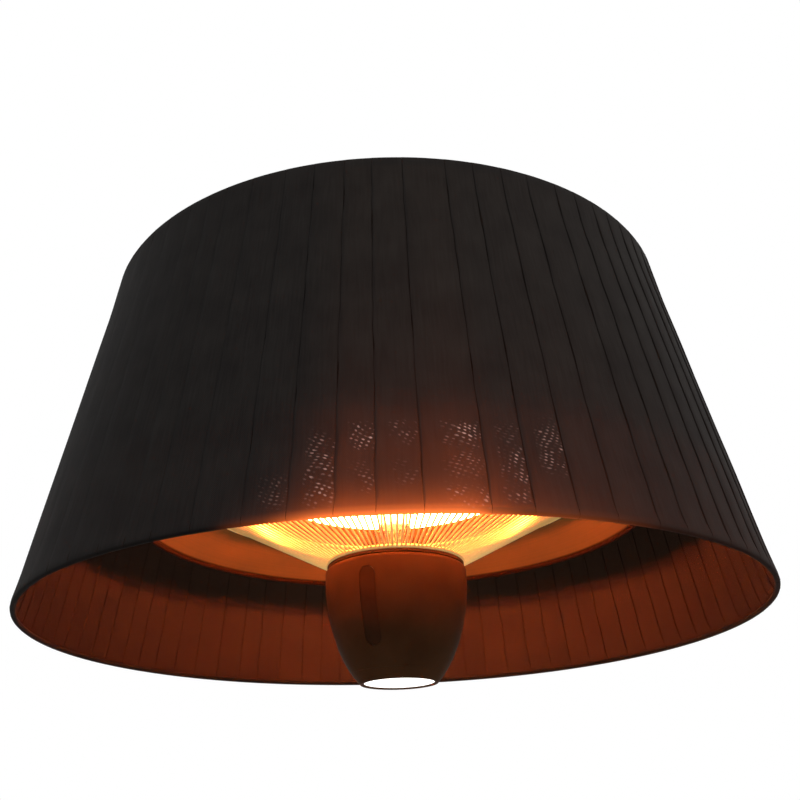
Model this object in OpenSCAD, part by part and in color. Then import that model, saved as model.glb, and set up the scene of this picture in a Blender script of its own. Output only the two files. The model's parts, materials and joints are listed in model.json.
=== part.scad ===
// Hanging patio heater with a pleated fabric shade, a ring of halogen lamps under a spun
// dish, and a lamp cup below. Heights are measured up from the shade's bottom edge, and
// the finished model is lowered so that its origin is the centre of the hanging eye.
// Z is up, and the receiver window looks towards -Y.

/* [Shade] */
// Diameter over the pleats at the bottom edge
shade_bottom_d = 600; // [570:5:630]
// Diameter over the pleats at the top edge
shade_top_d = 490; // [470:5:520]
// Height from the bottom edge to the top edge
shade_h = 287; // [275:1:310]
// Number of pleats round the shade
pleat_count = 76; // [64:1:84]
// How far a fold stands proud of the pleat beside it
pleat_depth = 2.6; // [1.4:0.2:3.4]
// Thickness of the stiffened fabric
fabric_t = 1.2; // [0.8:0.1:1.6]
// Wire of the bottom hoop
hem_wire_d = 2.8; // [2.4:0.2:4]
// Rod of the top hoop and its spokes
frame_rod_d = 5; // [4:0.5:7]
// Number of spokes that carry the top hoop
spoke_count = 4; // [3:1:6]
// Thickness of the fabric wrapped round both hoops
hem_t = 0.4; // [0.4:0.1:1]
// Diameter of the hub where the spokes meet
hub_d = 44; // [36:1:60]
// Thickness of that hub
hub_t = 6; // [5:0.5:8]

/* [Reflector dish] */
// Diameter to the middle of the rolled rim
dish_d = 439; // [420:1:460]
// Height of the rolled rim above the shade's bottom edge
dish_rim_h = 92.5; // [84:0.5:104]
// Slope of the dish's side
dish_slope = 25.7; // [23:0.1:28]
// Diameter of the flat floor that closes the dish
dish_floor_d = 240; // [228:1:250]
// Sheet of the dish
dish_t = 1.2; // [0.8:0.1:1.6]
// Bead that its rim is rolled into
dish_bead_d = 5; // [4:0.5:7]

/* [Lamps] */
// Diameter of the ring that the two half-round lamps make
lamp_ring_d = 203; // [200:1:214]
// Outside of the quartz tube
lamp_tube_d = 13; // [11:0.5:15]
// Wall of the quartz tube
quartz_t = 1.2; // [0.8:0.1:1.6]
// Filament that runs through it
filament_d = 2.4; // [1.6:0.2:3.2]
// Distance from the dish's floor down to the middle of the tube
lamp_drop = 17; // [15:1:26]
// Angle from the holder's middle to the tube's end
lamp_end_a = 9; // [8.5:0.5:11]
// Ceramic cap on each end of a tube
cap_d = 15; // [13.5:0.5:17]
// Length of that cap
cap_len = 12; // [10:0.5:13]
// Width of the ceramic holder across the ring
holder_w = 22; // [20:1:24]
// Length of the ceramic holder along the ring
holder_l = 24; // [20:1:28]

/* [Guard] */
// Number of wires
guard_wires = 104; // [88:4:112]
// Diameter of a wire
guard_wire_d = 1.8; // [1.4:0.1:2.4]
// Diameter of the wire of both hoops
guard_hoop_wire_d = 3.6; // [3:0.2:4.4]
// Ring diameter of the outer hoop
guard_outer_d = 342; // [330:1:354]
// Ring diameter of the inner hoop
guard_inner_d = 113; // [107:1:114]
// Clips that hold the outer hoop
clip_count = 4; // [4:4:8]
// Width of a clip
clip_w = 6; // [5:0.5:7]
// Sheet of a clip
clip_t = 1.2; // [0.8:0.1:1.6]

/* [Centre tube] */
// Outside of the tube between the dish and the cup
tube_d = 29; // [26:1:32]
// Wall of the tube
tube_t = 1.5; // [1:0.1:2.5]
// Collar that the tube bears on the dish and the lid with
collar_d = 38; // [36:1:44]
// Thickness of that collar
collar_t = 3; // [2:0.5:4]
// Ring nuts that clamp the tube's two ends
ring_nut_d = 42; // [38:1:48]
// Height of a ring nut
ring_nut_h = 6; // [4:0.5:8]

/* [Cup] */
// Diameter of the cup where it is widest
cup_d = 118.6; // [116:0.2:124]
// Height of that widest level above the shade's bottom edge
cup_belly_h = 40; // [36:0.5:42]
// How far the cup hangs below the shade's bottom edge
cup_drop = 45; // [38:0.5:55]
// Diameter of the cup's lower end
cup_nose_d = 63; // [62:0.2:66]
// Wall of the cup
cup_t = 2; // [1.6:0.1:2.4]
// Height of the cup's upper edge above the shade's bottom edge
cup_top_h = 48.7; // [47:0.1:52]
// Radius of its shoulder
cup_shoulder_r = 4; // [2:0.5:5]
// Lid that closes the cup
lid_t = 2.5; // [2:0.1:4]
// Number of posts and screws that hold the lid
lid_screw_count = 3; // [3:1:5]
// Height of the bezel that forms the cup's nose
bezel_h = 8; // [7:0.5:10]
// Diameter of the bezel's opening
bezel_opening_d = 57.6; // [55:0.2:58]
// Thickness of the bezel's lip under the lens
bezel_lip_t = 1.2; // [0.8:0.1:1.8]
// Thickness of the lens
lens_t = 2.5; // [2:0.1:3]
// Section of the lens seal
seal_d = 1.6; // [1.2:0.1:2]
// Thickness of the light's circuit board
led_board_t = 1.6; // [1:0.1:2]
// Height of the heat sink's plate
sink_t = 6; // [4:0.5:8]
// Angle from straight ahead to the receiver window
window_a = -23; // [-30:1:-16]
// Width of the receiver window
window_w = 13; // [9:0.5:15]
// Height of the receiver window
window_h = 60; // [52:1:62]
// Distance from the cup's widest height down to the window's upper end
window_drop = 1.5; // [1:0.5:4]

/* [Cover] */
// Diameter of the cover where it meets the dish
cover_base_d = 260; // [252:1:268]
// Diameter of the cover's top
cover_top_d = 190; // [184:1:206]
// Rise of the cover's top above the dish's floor
cover_rise = 62; // [58:1:72]
// Width of the cover's flange
flange_w = 12; // [10:0.5:14]
// Sheet of the cover and the heat shield
sheet_t = 1.2; // [0.8:0.1:1.6]
// Radius of the cover's upper edge
cover_corner_r = 8; // [5:1:12]
// Gasket between the cover and the dish
gasket_t = 2; // [1:0.2:3]
// Number of screws through the cover's flange
cover_screw_count = 6; // [4:1:8]
// Height of the posts under the heat shield
spacer_h = 18; // [16:1:21]
// Distance from the axis to the cable gland
gland_x = 66; // [60:1:70]
// Bore of the cable gland
gland_bore_d = 8.4; // [6:0.2:9]

/* [Suspension] */
// Rod that carries the heater
rod_d = 12; // [10:0.5:14]
// Height of the nuts on that rod
rod_nut_h = 8; // [6:0.5:10]
// Base plate of the rod's socket
socket_d = 56; // [52:1:62]
// Thickness of that plate
socket_t = 5; // [4:0.5:7]
// Width and depth of the swivel block
block_w = 26; // [24:0.5:32]
// Height of the swivel block
block_h = 30; // [29:1:40]
// Pivot pin
pin_d = 8; // [7:0.5:9]
// Radial clearance of the pin in its bores
pin_fit = 0.05; // [0.02:0.01:0.09]
// Strap that the bail is bent from
strap_w = 20; // [18:1:26]
// Thickness of the strap
strap_t = 4; // [3:0.5:5]
// Height of the eye's centre above the pivot pin
bail_rise = 48; // [42:1:60]
// Hole of the hanging eye
eye_d = 12; // [10:0.5:13]
// Outer radius of the bail's two bends
bend_r = 9; // [7:0.5:12]

/* [Fits] */
// Gap between pieces that only lie against each other
touch = 0.1; // [0.05:0.05:0.2]
// Gap round a curved piece that its neighbour carries
seat = 0.2; // [0.1:0.05:0.3]
// Gap round screws and leads in their holes
hole_fit = 0.3; // [0.2:0.05:0.4]
// Side gap at each washer of the pivot
side_fit = 0.2; // [0.15:0.05:0.3]

/* [Hidden] */
$fn = 96;
pleat_step = 0.12;      // share of a pleat's pitch that its fold takes
ellipse_steps = 18;     // bands of the cup's curve
corner_steps = 5;       // bands of a rounded edge

// Shade
hem_r = hem_wire_d / 2 + touch + hem_t;
top_hem_r = frame_rod_d / 2 + touch + hem_t;
fabric_bottom_z = 2 * hem_r + touch;
fabric_top_z = shade_h - 2 * top_hem_r - touch;
function shade_r(z) = shade_bottom_d / 2 + (shade_top_d - shade_bottom_d) / 2 * z / shade_h;
fabric_mid = (pleat_depth + fabric_t) / 2;
bottom_hoop_r = shade_r(hem_r) - fabric_mid;
top_hoop_r = shade_r(shade_h - top_hem_r) - fabric_mid;
top_hoop_z = shade_h - top_hem_r;

// Dish
dish_r = dish_d / 2;
dish_floor_r = dish_floor_d / 2;
dish_v = dish_t / cos(dish_slope);
function dish_z(r) = dish_rim_h + (dish_r - r) * tan(dish_slope);
function dish_back(r) = dish_z(r) + dish_v;
dish_floor_z = dish_z(dish_floor_r);
dish_floor_top = dish_floor_z + dish_t;
tube_hole_r = tube_d / 2 + seat;

// Lamps
lamp_ring_r = lamp_ring_d / 2;
lamp_z = dish_floor_z - lamp_drop;
holder_wall = 2.5;
lead_d = 3;
lead_y = 9;

// Cup
cup_r0 = cup_d / 2;
cup_b = (cup_belly_h + cup_drop) / sqrt(1 - pow(cup_nose_d / cup_d, 2));
function cup_r(z) = z > cup_belly_h ? cup_r0
    : cup_r0 * sqrt(1 - pow((z - cup_belly_h) / cup_b, 2));
nose_z = -cup_drop;
bezel_top = nose_z + bezel_h;
window_top_h = cup_belly_h - window_drop;
lid_z = cup_top_h + seat;
lid_top = lid_z + lid_t;
lid_r = cup_r0 - cup_shoulder_r + 2.5;
lens_z = nose_z + bezel_lip_t + touch;
lens_r = bezel_opening_d / 2 + 1.5;
seal_z = lens_z + lens_t + touch + seal_d / 2;
led_board_z = bezel_top - led_board_t;
sink_r = lens_r + 2.3;
spigot_h = 6;
spigot_wall = 1.8;
sink_z = bezel_top + touch;
sink_top = sink_z + sink_t;
post_d = 8;
post_h = 18;
post_r = cup_r0 - cup_t - post_d / 2 + 1;
screw_d = 4;

// Cover and what it holds
cover_r = cover_base_d / 2;
cover_top_r = cover_top_d / 2;
cover_top = dish_floor_z + cover_rise;
gasket_v = gasket_t / cos(dish_slope);
sheet_v = sheet_t / cos(dish_slope);
function flange_z(r) = dish_back(r) + gasket_v;
cover_lean = atan((cover_r - cover_top_r) / (cover_top - flange_z(cover_r)));
cover_side = sheet_t / cos(cover_lean);
shield_z = dish_floor_top + spacer_h;
shield_top = shield_z + sheet_t;
shield_r = cover_r - (shield_z - flange_z(cover_r)) * tan(cover_lean) - cover_side - 4;
spacer_r = 88;
spacer_d = 8;
board = [48, 68, 1.6];
board_x = -52;
board_post_h = 6;
board_z = shield_top + board_post_h;
block_terminal = [18, 56, 17];
terminal_x = 34;
terminal_count = 5;
cutout_y = 62;
cutout_d = 16;
tube_top = dish_floor_top + ring_nut_h + 3;
tube_bottom = lid_z - ring_nut_h - 3;
loom_d = 5;

// Guard
guard_outer_r = guard_outer_d / 2;
clip_seat = guard_hoop_wire_d / 2 + seat;
guard_outer_z = dish_z(guard_outer_r) - clip_seat / cos(dish_slope);
guard_inner_r = guard_inner_d / 2;
guard_inner_z = lid_top + guard_hoop_wire_d / 2 + touch;
clip_reach = 15;
clip_screw_in = 9.5;

// Suspension
socket_collar_d = 22;
socket_h = 16;
socket_screw_r = 20;
hub_z = top_hoop_z - hub_t / 2;
hub_top = hub_z + hub_t;
block_z = hub_top + 2 * touch + rod_nut_h;
pin_z = block_z + block_h / 2;
rod_top = pin_z - pin_d / 2 - 2;
washer_t = 1;
leg_in = block_w / 2 + washer_t + 2 * side_fit;
leg_out = leg_in + strap_t;
pin_head_t = 3;
clip_ring_t = 1.2;
eye_z = pin_z + bail_rise;

// Shared helpers
module hang() {
    translate([0, 0, -eye_z]) children();
}

function arc(x, y, r, a0, a1, n) =
    [for (i = [0:n]) let (a = a0 + (a1 - a0) * i / n) [x + r * cos(a), y + r * sin(a)]];

module round_about(n, first = 0) {
    for (i = [0:n - 1]) rotate([0, 0, first + i * 360 / n]) children();
}

module ring(r, wire_r) {
    rotate_extrude() translate([r, 0]) circle(r = wire_r);
}

module disc(r_out, r_in, h) {
    difference() {
        cylinder(h = h, r = r_out);
        translate([0, 0, -1]) cylinder(h = h + 2, r = r_in);
    }
}

module rod_between(a, b, d) {
    v = b - a;
    translate(a) rotate([0, acos(v[2] / norm(v)), atan2(v[1], v[0])])
        cylinder(h = norm(v), d = d);
}

module route(points, d) {
    for (i = [0:len(points) - 2]) rod_between(points[i], points[i + 1], d);
    for (i = [1:len(points) - 2]) translate(points[i]) sphere(d = d);
}

// Places children on the back of the dish's side, square to it
module on_dish(r) {
    translate([r, 0, dish_back(r)]) rotate([0, dish_slope, 0]) children();
}

module screw(shank_d, length, head_d, head_h) {
    translate([0, 0, -length]) cylinder(h = length + head_h / 2, d = shank_d);
    cylinder(h = head_h, d = head_d);
}

// Suspension
module bail_outline(grow) {
    r = bend_r - grow;
    w = leg_out - grow;
    top = bail_rise + strap_t / 2 - grow;
    polygon(concat(
        [[-w, 0], [w, 0]],
        arc(w - r, top - r, r, 0, 90, corner_steps),
        arc(-w + r, top - r, r, 90, 180, corner_steps)
    ));
}

module hanging_bail() hang() color("dimgray") translate([0, 0, pin_z]) difference() {
    union() {
        rotate([90, 0, 0]) linear_extrude(strap_w, center = true) difference() {
            bail_outline(0);
            translate([0, -0.01]) bail_outline(strap_t);
        }
        for (side = [-1, 1]) translate([side * (leg_in + strap_t / 2), 0, 0])
            rotate([0, 90, 0]) cylinder(h = strap_t, d = strap_w, center = true);
    }
    rotate([0, 90, 0]) cylinder(h = 4 * leg_out, r = pin_d / 2 + pin_fit, center = true);
    translate([0, 0, bail_rise]) cylinder(h = 2 * strap_t, d = eye_d, center = true);
}

module pivot_pin() hang() color("silver") translate([0, 0, pin_z]) rotate([0, 90, 0]) {
    groove = leg_out + 2 * touch;
    rotate_extrude() polygon([
        [0, -leg_out - pin_head_t - touch], [0.8 * pin_d, -leg_out - pin_head_t - touch],
        [0.8 * pin_d, -leg_out - touch], [pin_d / 2, -leg_out - touch],
        [pin_d / 2, groove - touch], [0.4 * pin_d, groove - touch],
        [0.4 * pin_d, groove + clip_ring_t + touch], [pin_d / 2, groove + clip_ring_t + touch],
        [pin_d / 2, groove + clip_ring_t + 2], [0, groove + clip_ring_t + 2]
    ]);
}

module pivot_washers() hang() color("gainsboro") translate([0, 0, pin_z])
    for (side = [-1, 1]) translate([side * (block_w / 2 + side_fit + washer_t / 2), 0, 0])
        rotate([0, 90, 0]) translate([0, 0, -washer_t / 2])
            disc(pin_d / 2 + 5, pin_d / 2 + seat, washer_t);

module pin_clip() hang() color("gray")
    translate([leg_out + 2 * touch, 0, pin_z]) rotate([0, 90, 0]) difference() {
        disc(0.85 * pin_d, 0.4 * pin_d + touch, clip_ring_t);
        translate([0, -0.35 * pin_d, -1]) cube([pin_d, 0.7 * pin_d, clip_ring_t + 2]);
    }

module swivel_block() hang() color("darkgray") difference() {
    translate([-block_w / 2, -block_w / 2, block_z]) cube([block_w, block_w, block_h]);
    translate([0, 0, pin_z]) rotate([0, 90, 0])
        cylinder(h = 2 * block_w, r = pin_d / 2 + pin_fit, center = true);
    translate([0, 0, block_z - 1]) cylinder(h = rod_top + touch - block_z + 1, r = rod_d / 2 + touch);
}

module suspension_rod() hang() color("silver")
    translate([0, 0, cover_top + touch]) cylinder(h = rod_top - cover_top - touch, d = rod_d);

module rod_nuts() hang() color("lightgray")
    for (z = [hub_z - touch - rod_nut_h, hub_top + touch]) translate([0, 0, z]) difference() {
        cylinder(h = rod_nut_h, d = 1.75 * rod_d, $fn = 6);
        translate([0, 0, -1]) cylinder(h = rod_nut_h + 2, r = rod_d / 2 + touch);
    }

module rod_socket() hang() color("dimgray") translate([0, 0, cover_top + touch]) difference() {
    union() {
        cylinder(h = socket_t, d = socket_d);
        cylinder(h = socket_h, d = max(socket_collar_d, rod_d + 8));
    }
    translate([0, 0, -1]) cylinder(h = socket_h + 2, r = rod_d / 2 + touch);
    socket_screw_places() translate([0, 0, -1]) cylinder(h = socket_t + 2, r = 2.5 + hole_fit);
}

module socket_screw_places() {
    round_about(4, 45) translate([socket_screw_r, 0, 0]) children();
}

socket_bolt_len = socket_t + sheet_t + 2 * touch + 6;
module socket_bolts() hang() color("silver")
    translate([0, 0, cover_top + socket_t + 2 * touch]) socket_screw_places()
        screw(5, socket_bolt_len, 9, 3);

module socket_nuts() hang() color("lightgray")
    translate([0, 0, cover_top - sheet_t - touch - 4]) socket_screw_places() difference() {
        cylinder(h = 4, d = 9, $fn = 6);
        translate([0, 0, -1]) cylinder(h = 6, r = 2.5 + touch);
    }

// Shade. The outline steps up at each fold, then falls slowly to the next fold.
function pleat_ring(r, z) =
    [for (i = [0:pleat_count - 1], s = [0, 1])
        let (a = -90 + (i + s * pleat_step) * 360 / pleat_count,
             p = r - (1 - s) * pleat_depth)
        [p * cos(a), p * sin(a), z]];

module shade_fabric() hang() color([0.16, 0.13, 0.12]) {
    n = 2 * pleat_count;
    outer_low = shade_r(fabric_bottom_z);
    outer_high = shade_r(fabric_top_z);
    polyhedron(
        points = concat(
            pleat_ring(outer_low, fabric_bottom_z), pleat_ring(outer_high, fabric_top_z),
            pleat_ring(outer_high - fabric_t, fabric_top_z),
            pleat_ring(outer_low - fabric_t, fabric_bottom_z)
        ),
        faces = [for (k = [0:3], i = [0:n - 1], half = [0, 1])
            let (j = (i + 1) % n, a = k * n, b = (k + 1) % 4 * n)
            half == 0 ? [a + i, b + i, a + j] : [a + j, b + i, b + j]]
    );
}

module spokes(end_r, clear) {
    round_about(spoke_count, 45) translate([0, 0, top_hoop_z]) rotate([0, 90, 0])
        translate([0, 0, hub_d / 2 - 2]) cylinder(h = end_r - hub_d / 2 + 2, r = frame_rod_d / 2 + clear);
}

module shade_top_hoop() hang() color("dimgray")
    translate([0, 0, top_hoop_z]) ring(top_hoop_r, frame_rod_d / 2);

module shade_top_spokes() hang() color("dimgray") {
    spokes(top_hoop_r - frame_rod_d / 2 - touch, 0);
    translate([0, 0, hub_z]) disc(hub_d / 2, rod_d / 2 + seat, hub_t);
}

module shade_top_hem() hang() color([0.15, 0.12, 0.11]) difference() {
    translate([0, 0, top_hoop_z]) rotate_extrude() translate([top_hoop_r, 0]) difference() {
        circle(r = top_hem_r);
        circle(r = frame_rod_d / 2 + touch);
    }
    spokes(top_hoop_r, hole_fit);
}

module shade_bottom_hoop() hang() color("dimgray")
    translate([0, 0, hem_r]) ring(bottom_hoop_r, hem_wire_d / 2);

module shade_bottom_hem() hang() color([0.15, 0.12, 0.11])
    translate([0, 0, hem_r]) rotate_extrude() translate([bottom_hoop_r, 0]) difference() {
        circle(r = hem_r);
        circle(r = hem_wire_d / 2 + touch);
    }

// Cover and electrics
cover_screw_r = cover_r + flange_w / 2 + 0.8;

module housing_cover() hang() color([0.2, 0.2, 0.21]) difference() {
    r1 = cover_r + flange_w;
    rc = cover_corner_r;
    rotate_extrude() polygon(concat(
        [[r1, flange_z(r1)], [r1, flange_z(r1) + sheet_v], [cover_r, flange_z(cover_r) + sheet_v]],
        arc(cover_top_r - rc, cover_top - rc, rc, 0, 90, corner_steps),
        [[0, cover_top], [0, cover_top - sheet_t]],
        arc(cover_top_r - rc, cover_top - rc, rc - sheet_t, 90, 0, corner_steps),
        [[cover_r - cover_side, flange_z(cover_r - cover_side)]]
    ));
    round_about(cover_screw_count) on_dish(cover_screw_r)
        cylinder(h = 4 * gasket_t + 4, r = screw_d / 2 + hole_fit, center = true);
    translate([0, 0, cover_top]) {
        socket_screw_places() cylinder(h = 4 * sheet_t, r = 2.5 + hole_fit, center = true);
        translate([gland_x, 0, 0]) cylinder(h = 4 * sheet_t, r = gland_thread_r + hole_fit, center = true);
    }
}

module cover_gasket() hang() color("black") difference() {
    r0 = cover_r + 0.5;
    r1 = cover_r + flange_w;
    rotate_extrude() polygon([
        [r0, dish_back(r0) + touch], [r1, dish_back(r1) + touch],
        [r1, flange_z(r1) - touch], [r0, flange_z(r0) - touch]
    ]);
    round_about(cover_screw_count) on_dish(cover_screw_r)
        cylinder(h = 4 * gasket_t + 4, r = screw_d / 2 + hole_fit, center = true);
}

module cover_screws() hang() color("silver")
    round_about(cover_screw_count) on_dish(cover_screw_r) translate([0, 0, gasket_t + sheet_t + touch])
        screw(screw_d, gasket_t + sheet_t + dish_t + 3, 8, 2.4);

gland_thread_r = gland_bore_d / 2 + 3.4;
module cable_gland() hang() color([0.12, 0.12, 0.12])
    translate([gland_x, 0, cover_top + touch]) difference() {
        union() {
            translate([0, 0, -sheet_t - 8]) cylinder(h = sheet_t + 9, r = gland_thread_r);
            cylinder(h = 5, r = gland_thread_r + 4, $fn = 6);
            cylinder(h = 17, r = gland_thread_r + 2);
            translate([0, 0, 17]) cylinder(h = 5, r1 = gland_thread_r + 2, r2 = gland_bore_d / 2 + 2);
        }
        translate([0, 0, -sheet_t - 9]) cylinder(h = 50, d = gland_bore_d);
    }

module gland_locknut() hang() color([0.15, 0.15, 0.15])
    translate([gland_x, 0, cover_top - sheet_t - touch - 5]) difference() {
        cylinder(h = 5, r = gland_thread_r + 4, $fn = 6);
        translate([0, 0, -1]) cylinder(h = 7, r = gland_thread_r + touch);
    }

module spacer_places() {
    for (a = [60, 120, 240, 300]) rotate([0, 0, a]) translate([spacer_r, 0, 0]) children();
}

module heat_shield() hang() color("silver") difference() {
    translate([0, 0, shield_z + touch]) cylinder(h = sheet_t - touch, r = shield_r);
    translate([0, 0, shield_z - 1]) {
        cylinder(h = sheet_t + 2, r = tube_hole_r + 3);
        spacer_places() cylinder(h = sheet_t + 2, r = 1.5 + hole_fit);
        for (x = [lead_x_right, lead_x_left], side = [-1, 1])
            translate([x, side * lead_y, 0]) cylinder(h = sheet_t + 2, r = lead_d / 2 + 1);
    }
}

module shield_spacers() hang() color("lightgray")
    translate([0, 0, dish_floor_top + touch]) spacer_places() difference() {
        cylinder(h = spacer_h - touch, d = spacer_d, $fn = 6);
        translate([0, 0, spacer_h - 9]) cylinder(h = 10, r = 1.5 + touch);
    }

module shield_screws() hang() color("silver")
    translate([0, 0, shield_top + touch]) spacer_places() screw(3, 7.5, 6, 2);

module board_corners() {
    for (x = [-1, 1], y = [-1, 1])
        translate([board_x + x * (board[0] / 2 - 4), y * (board[1] / 2 - 4), 0]) children();
}

module control_board() hang() color("darkgreen")
    translate([board_x, 0, board_z + touch + board[2] / 2]) cube(board, center = true);

module board_posts() hang() color("whitesmoke")
    translate([0, 0, shield_top + touch]) board_corners() cylinder(h = board_post_h - touch, d = 5);

module board_relays() hang() color("midnightblue")
    translate([board_x, 0, board_z + board[2] + 2 * touch]) {
        for (side = [-1, 1]) translate([-15, side * 15 - 8, 0]) cube([20, 16, 16]);
        translate([14, 0, 0]) cylinder(h = 15, d = 10);
        translate([14, 18, 0]) cylinder(h = 12, d = 8);
    }

module terminal_block() hang() color("ivory") difference() {
    translate([terminal_x - block_terminal[0] / 2, -block_terminal[1] / 2, shield_top + touch])
        cube(block_terminal);
    terminal_places() translate([0, 0, -6]) cylinder(h = 10, r = 2.5 + hole_fit);
}

module terminal_places() {
    pitch = block_terminal[1] / terminal_count;
    for (i = [0:terminal_count - 1])
        translate([terminal_x, (i - (terminal_count - 1) / 2) * pitch, shield_top + block_terminal[2]])
            children();
}

module terminal_screws() hang() color("goldenrod")
    terminal_places() translate([0, 0, -6 + 2 * touch]) cylinder(h = 4, r = 2.5);

module thermal_cutout() hang() color("silver")
    translate([0, cutout_y, dish_floor_top + touch]) {
        cylinder(h = 1.5, d = cutout_d + 6);
        cylinder(h = 8, d = cutout_d);
        for (side = [-1, 1]) translate([side * 5 - 1, -3, 7]) cube([2, 6, 7]);
    }

lead_x_right = terminal_x + block_terminal[0] / 2 + 8;
lead_x_left = board_x - board[0] / 2 - 5;
module lamp_leads() hang() color("white") for (side = [-1, 1]) {
    low = dish_floor_top + spacer_h / 2;
    start = dish_floor_z - touch;
    right_end = shield_top + 9;
    left_end = board_z + board[2] / 2;
    y = side * lead_y;
    route([
        [lamp_ring_r, y, start], [lamp_ring_r, y, low], [lead_x_right, y, low],
        [lead_x_right, y, right_end], [terminal_x + block_terminal[0] / 2 + touch, y, right_end]
    ], lead_d);
    route([
        [-lamp_ring_r, y, start], [-lamp_ring_r, y, low], [lead_x_left, y, low],
        [lead_x_left, y, left_end], [board_x - board[0] / 2 - touch, y, left_end]
    ], lead_d);
}

// Dish, lamps and guard
module reflector_dish() hang() color("peru") difference() {
    back_floor_r = dish_floor_r + (dish_v - dish_t) / tan(dish_slope);
    union() {
        rotate_extrude() polygon([
            [tube_hole_r, dish_floor_z], [dish_floor_r, dish_floor_z], [dish_r, dish_rim_h],
            [dish_r, dish_rim_h + dish_v], [back_floor_r, dish_floor_top],
            [tube_hole_r, dish_floor_top]
        ]);
        translate([0, 0, dish_rim_h]) ring(dish_r, dish_bead_d / 2);
    }
    round_about(cover_screw_count) on_dish(cover_screw_r)
        cylinder(h = 4 * dish_t + 4, r = screw_d / 2 + hole_fit, center = true);
    clip_places() translate([clip_screw_in, 0, clip_seat])
        cylinder(h = 4 * dish_t + 4, r = 1.5 + hole_fit, center = true);
    for (x = [-1, 1], y = [-1, 1]) translate([x * lamp_ring_r, y * lead_y, dish_floor_z])
        cylinder(h = 4 * dish_t, r = lead_d / 2 + hole_fit, center = true);
}

module lamp_cap_places() {
    for (side = [0, 180], turn = [-1, 1]) rotate([0, 0, side + turn * lamp_end_a])
        translate([lamp_ring_r, 0, lamp_z]) rotate([turn * 90, 0, 0]) children();
}

module lamp_caps() hang() color("white") lamp_cap_places()
    translate([0, 0, touch]) cylinder(h = cap_len, d = cap_d);

module lamp_holders() hang() color("antiquewhite") difference() {
    low = lamp_z - cap_d / 2 - holder_wall;
    for (side = [-1, 1])
        translate([side * lamp_ring_r - holder_w / 2, -holder_l / 2, low])
            cube([holder_w, holder_l, dish_floor_z - touch - low]);
    lamp_cap_places() cylinder(h = cap_len + 1, r = cap_d / 2 + seat);
    for (x = [-1, 1], y = [-1, 1]) translate([x * lamp_ring_r, y * lead_y, dish_floor_z - 2])
        cylinder(h = 4, r = lead_d / 2 + hole_fit);
}

module half_ring(first) {
    translate([0, 0, lamp_z]) rotate([0, 0, first + lamp_end_a])
        rotate_extrude(angle = 180 - 2 * lamp_end_a) translate([lamp_ring_r, 0]) children();
}

module tube_section() {
    difference() {
        circle(d = lamp_tube_d);
        circle(d = lamp_tube_d - 2 * quartz_t);
    }
}

module front_lamp_tube() hang() color("gold") half_ring(180) tube_section();
module rear_lamp_tube() hang() color("gold") half_ring(0) tube_section();
module front_filament() hang() color("orange") half_ring(180) circle(d = filament_d);
module rear_filament() hang() color("orange") half_ring(0) circle(d = filament_d);

module wire_guard() hang() color("silver") {
    a = [guard_inner_r, 0, guard_inner_z];
    b = [guard_outer_r, 0, guard_outer_z];
    translate([0, 0, guard_outer_z]) ring(guard_outer_r, guard_hoop_wire_d / 2);
    translate([0, 0, guard_inner_z]) ring(guard_inner_r, guard_hoop_wire_d / 2);
    round_about(guard_wires, 180 / guard_wires) rod_between(a, b, guard_wire_d, $fn = 6);
}

// Clips reach under the outer hoop midway between two wires. Each is drawn in the plane
// of the dish's side, with the hoop's centre as its origin.
module clip_places() {
    round_about(clip_count) translate([guard_outer_r, 0, guard_outer_z])
        rotate([0, dish_slope, 0]) children();
}

module guard_clips() hang() color("silver") clip_places() difference() {
    w = clip_seat;
    rotate([90, 0, 0]) linear_extrude(clip_w, center = true) polygon([
        [-w + 1, -w - clip_t], [w + clip_t, -w - clip_t], [w + clip_t, w - clip_t - touch],
        [clip_reach, w - clip_t - touch], [clip_reach, w - touch], [w, w - touch],
        [w, -w], [-w + 1, -w]
    ]);
    translate([clip_screw_in, 0, 0]) cylinder(h = 20, r = 1.5 + hole_fit, center = true);
}

module clip_screws() hang() color("silver") clip_places()
    translate([clip_screw_in, 0, clip_seat - clip_t - 2 * touch])
        rotate([180, 0, 0]) screw(3, clip_t + dish_t + 3, 5, 1.8);

// Centre tube and cup
module centre_tube() hang() color("silver") difference() {
    union() {
        translate([0, 0, tube_bottom]) cylinder(h = tube_top - tube_bottom, d = tube_d);
        translate([0, 0, lid_top + touch]) cylinder(h = collar_t, d = collar_d);
        translate([0, 0, dish_floor_z - collar_t - touch]) cylinder(h = collar_t, d = collar_d);
    }
    translate([0, 0, tube_bottom - 1]) cylinder(h = tube_top - tube_bottom + 2, d = tube_d - 2 * tube_t);
}

module ring_nuts() hang() color("lightgray")
    for (z = [lid_z - touch - ring_nut_h, dish_floor_top + touch]) translate([0, 0, z]) difference() {
        cylinder(h = ring_nut_h, d = ring_nut_d, $fn = 8);
        translate([0, 0, -1]) cylinder(h = ring_nut_h + 2, r = tube_d / 2 + touch);
    }

module cup_loom() hang() color("black") route([
    [0, 0, sink_top + touch], [0, 0, board_z + board[2] / 2],
    [board_x + board[0] / 2 + touch, 0, board_z + board[2] / 2]
], loom_d);

module cup_lid() hang() color([0.22, 0.14, 0.1]) difference() {
    translate([0, 0, lid_z]) disc(lid_r, tube_hole_r, lid_t);
    translate([0, 0, lid_z - 1]) lid_screw_places() cylinder(h = lid_t + 2, r = screw_d / 2 + hole_fit);
}

module lid_screw_places() {
    round_about(lid_screw_count, 30) translate([lid_screw_at, 0, 0]) children();
}

lid_screw_at = guard_inner_r - guard_hoop_wire_d / 2 - 5;
module lid_screws() hang() color("silver")
    translate([0, 0, lid_top + touch]) lid_screw_places() screw(screw_d, lid_t + 8, 7, 2.2);

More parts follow.
